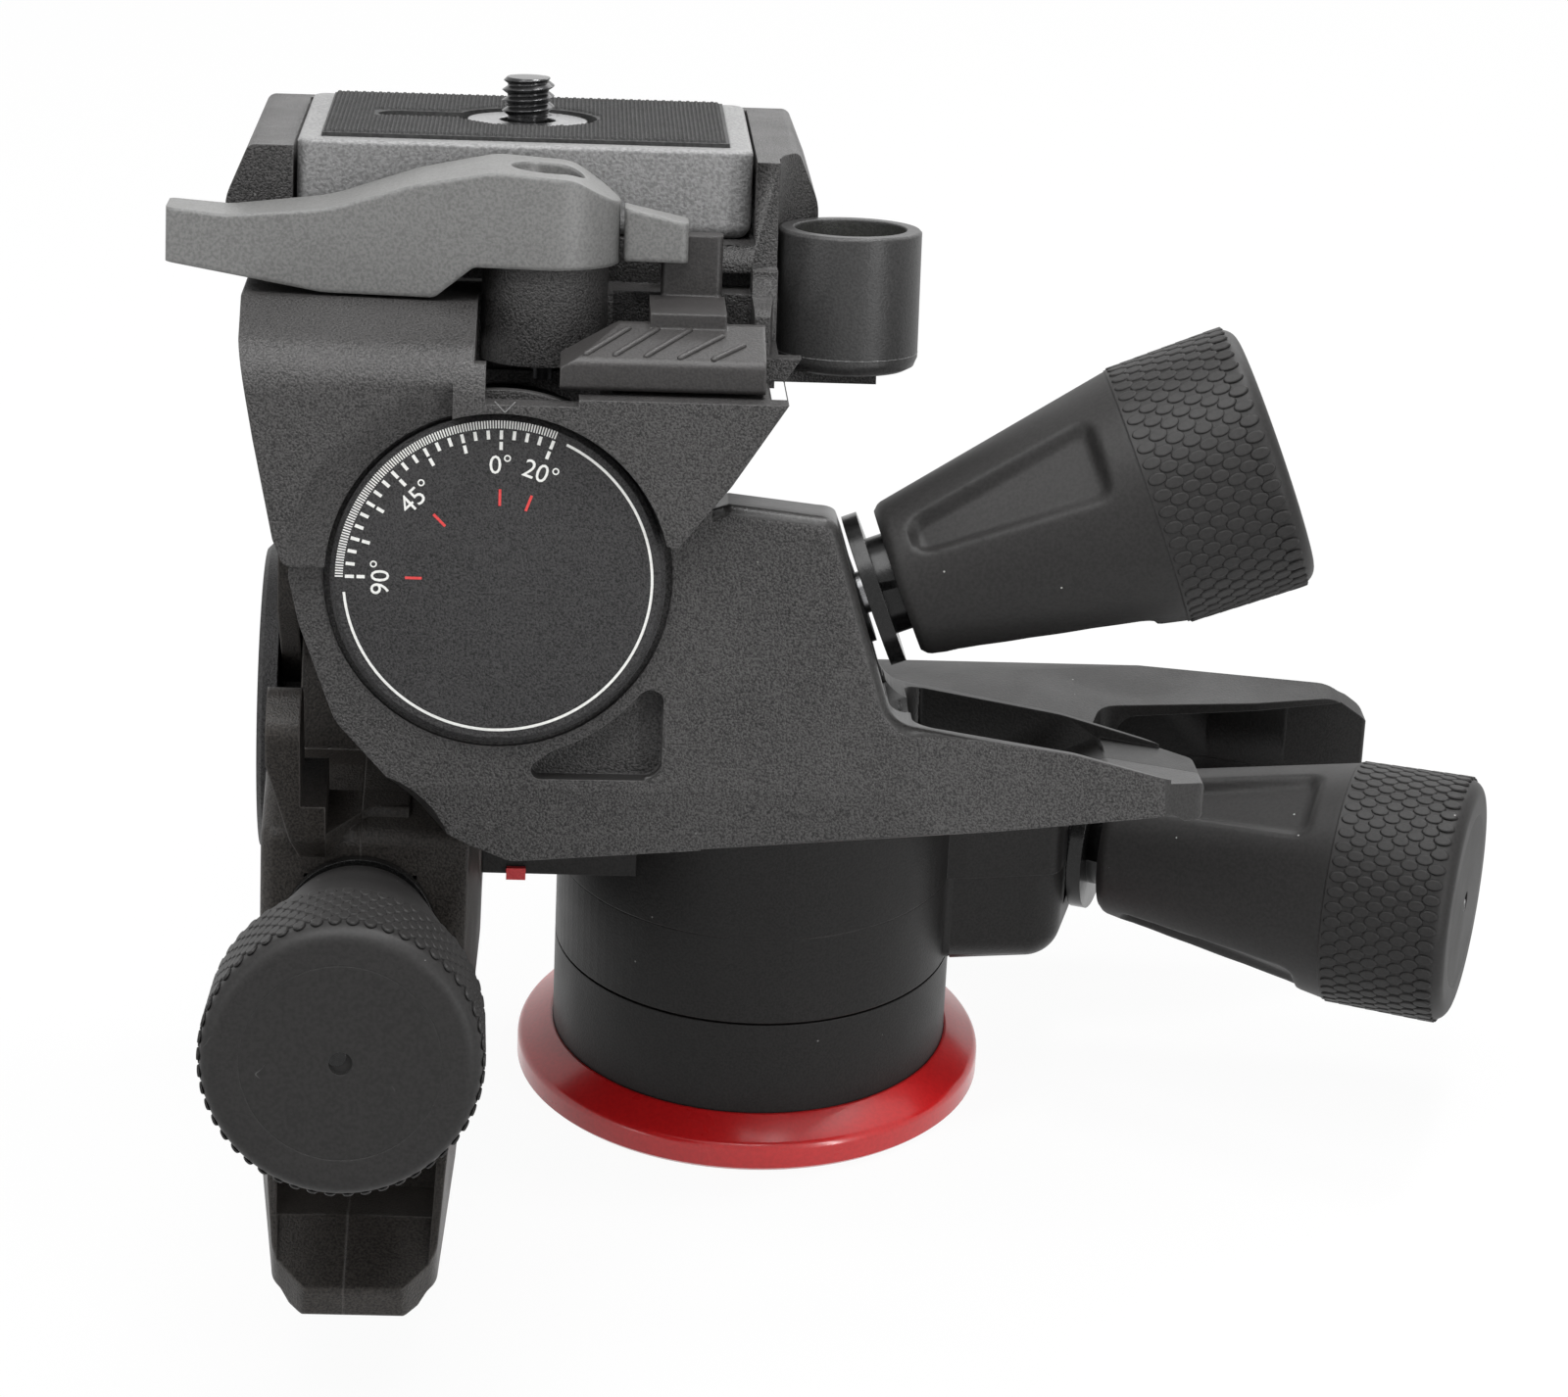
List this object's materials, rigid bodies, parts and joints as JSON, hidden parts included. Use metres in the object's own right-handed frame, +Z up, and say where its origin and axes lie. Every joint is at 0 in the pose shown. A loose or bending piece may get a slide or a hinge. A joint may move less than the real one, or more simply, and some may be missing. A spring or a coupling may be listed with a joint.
{
  "type": "geared tripod head",
  "caption": "Three-way geared head: worm-driven pan and two tilts, each with a tapered knob and a squeeze release lever, under a quick-release camera plate with clamp lever and round level.",
  "frame": {"origin": "centre of the base ring's underside, on the pan axis", "axes": "+Z up along the pan axis, -Y towards the viewer (the dial side), +X towards the front and pan knobs"},
  "size_m": [0.1663, 0.1364, 0.1339],
  "materials": {
    "ring_red": "glossy dark red lacquer",
    "index_red": "matt red",
    "body_black": "fine textured black paint",
    "steel": "turned",
    "wheel_brass": "cut teeth, greased",
    "carrier_black": "satin, glass filled",
    "spring_steel": "drawn wire",
    "core_black": "smooth",
    "grip_soft": "soft touch",
    "cap_black": "satin with faint scratches",
    "dial_black": "fine grain with printed scale",
    "screw_black": "black oxide",
    "plate_grey": "satin dark grey",
    "pad_rubber": "raised diamond pattern",
    "screw_gloss": "bright black",
    "washer_steel": "polished",
    "lever_grey": "satin mid grey",
    "catch_grey": "satin mid grey",
    "lever_black": "satin",
    "cup_black": "satin",
    "vial_glass": "clear"
  },
  "bodies": {
    "base": {"base_ring": "ring_red", "base_column": "body_black", "thread_insert": "steel", "pan_post": "steel", "pan_worm_wheel": "wheel_brass"},
    "pan_stage": {"pan_housing_lower": "body_black", "pan_housing_upper": "body_black", "pan_housing_screws": "screw_black", "pan_pivot_pin": "steel", "pan_carrier_spring": "spring_steel", "pan_index": "index_red", "side_bridge": "body_black", "lateral_housing_outer": "body_black", "lateral_housing_inner": "body_black", "lateral_housing_screws": "screw_black", "lateral_dial": "dial_black", "lateral_pivot_pin": "steel", "lateral_carrier_spring": "spring_steel"},
    "mid_stage": {"front_housing_front": "body_black", "front_housing_rear": "body_black", "front_housing_screws": "screw_black", "front_dial": "dial_black", "front_pivot_pin": "steel", "front_carrier_spring": "spring_steel", "tilt_yoke": "body_black", "lateral_worm_wheel": "wheel_brass", "lateral_axle": "steel"},
    "head": {"camera_bracket": "body_black", "camera_plate": "plate_grey", "plate_pad": "pad_rubber", "screw_washer": "washer_steel", "level_cup": "cup_black", "level_vial": "vial_glass", "lever_bolt": "screw_black", "front_worm_wheel": "wheel_brass", "front_axle": "steel"},
    "clamp": {"clamp_lever": "lever_grey"},
    "safety": {"safety_lever": "lever_black", "lever_catch": "catch_grey"},
    "plate_screw": {"camera_screw": "screw_gloss"},
    "pan_carrier": {"pan_worm_carrier": "carrier_black"},
    "pan_knob": {"pan_worm_shaft": "steel", "pan_knob_flange": "carrier_black", "pan_knob_core": "core_black", "pan_knob_grip": "grip_soft", "pan_knob_cap": "cap_black"},
    "lateral_carrier": {"lateral_worm_carrier": "carrier_black"},
    "lateral_knob": {"lateral_worm_shaft": "steel", "lateral_knob_flange": "carrier_black", "lateral_knob_core": "core_black", "lateral_knob_grip": "grip_soft", "lateral_knob_cap": "cap_black"},
    "front_carrier": {"front_worm_carrier": "carrier_black"},
    "front_knob": {"front_worm_shaft": "steel", "front_knob_flange": "carrier_black", "front_knob_core": "core_black", "front_knob_grip": "grip_soft", "front_knob_cap": "cap_black"}
  },
  "joints": [
    {"name": "pan_turn", "type": "hinge", "parent": "base", "child": "pan_stage", "pos_m": [0, 0, 0], "axis": [0, 0, 1], "continuous": true},
    {"name": "lateral_tilt", "type": "hinge", "parent": "pan_stage", "child": "mid_stage", "pos_m": [0, -0.0096, 0.0546], "axis": [-1, 0, 0], "range_deg": [-12.5, 78]},
    {"name": "front_tilt", "type": "hinge", "parent": "mid_stage", "child": "head", "pos_m": [-0.033, -0.0576, 0.09332], "axis": [0, -0.9774, 0.2113], "range_deg": [-20, 90]},
    {"name": "clamp_swing", "type": "hinge", "parent": "head", "child": "clamp", "pos_m": [-0.0286, -0.0298, 0.12158], "axis": [0, 0.2113, 0.9774], "range_deg": [0, 100]},
    {"name": "safety_swing", "type": "hinge", "parent": "head", "child": "safety", "pos_m": [-0.01, -0.03263, 0.10899], "axis": [0, 0.2113, 0.9774], "range_deg": [0, 10], "stiffness_Nm_per_rad": 0.3, "springref_deg": -2.86},
    {"name": "plate_screw_turn", "type": "hinge", "parent": "head", "child": "plate_screw", "pos_m": [-0.0313, 0.00346, 0.12636], "axis": [0, 0.2113, 0.9774], "continuous": true},
    {"name": "pan_release", "type": "hinge", "parent": "pan_stage", "child": "pan_carrier", "pos_m": [-0.00198, 0.0196, 0.0305], "axis": [0, 0, 1], "range_deg": [0, 5.5], "stiffness_Nm_per_rad": 1.5, "springref_deg": -6.88, "deforming": ["pan_carrier_spring"]},
    {"name": "pan_knob_turn", "type": "hinge", "parent": "pan_carrier", "child": "pan_knob", "pos_m": [0.00562, 0.0171, 0.0305], "axis": [0.95, -0.3123, 0], "continuous": true},
    {"name": "lateral_release", "type": "hinge", "parent": "pan_stage", "child": "lateral_carrier", "pos_m": [-0.0485, -0.00528, 0.03538], "axis": [1, 0, 0], "range_deg": [0, 5.5], "stiffness_Nm_per_rad": 1.5, "springref_deg": -6.88, "deforming": ["lateral_carrier_spring"]},
    {"name": "lateral_knob_turn", "type": "hinge", "parent": "lateral_carrier", "child": "lateral_knob", "pos_m": [-0.0485, -0.01313, 0.03695], "axis": [0, -0.9806, 0.1959], "continuous": true},
    {"name": "front_release", "type": "hinge", "parent": "mid_stage", "child": "front_carrier", "pos_m": [-0.03409, -0.04856, 0.07124], "axis": [0, 0.9774, -0.2113], "range_deg": [0, 5.5], "stiffness_Nm_per_rad": 1.5, "springref_deg": -6.88, "deforming": ["front_carrier_spring"]},
    {"name": "front_knob_turn", "type": "hinge", "parent": "front_carrier", "child": "front_knob", "pos_m": [-0.02661, -0.04796, 0.07402], "axis": [0.9348, 0.075, 0.3471], "continuous": true}
  ],
  "couplings": [
    {"joint": "pan_knob_turn", "follows": "pan_turn", "ratio": -56},
    {"joint": "lateral_knob_turn", "follows": "lateral_tilt", "ratio": -56},
    {"joint": "front_knob_turn", "follows": "front_tilt", "ratio": -56}
  ]
}
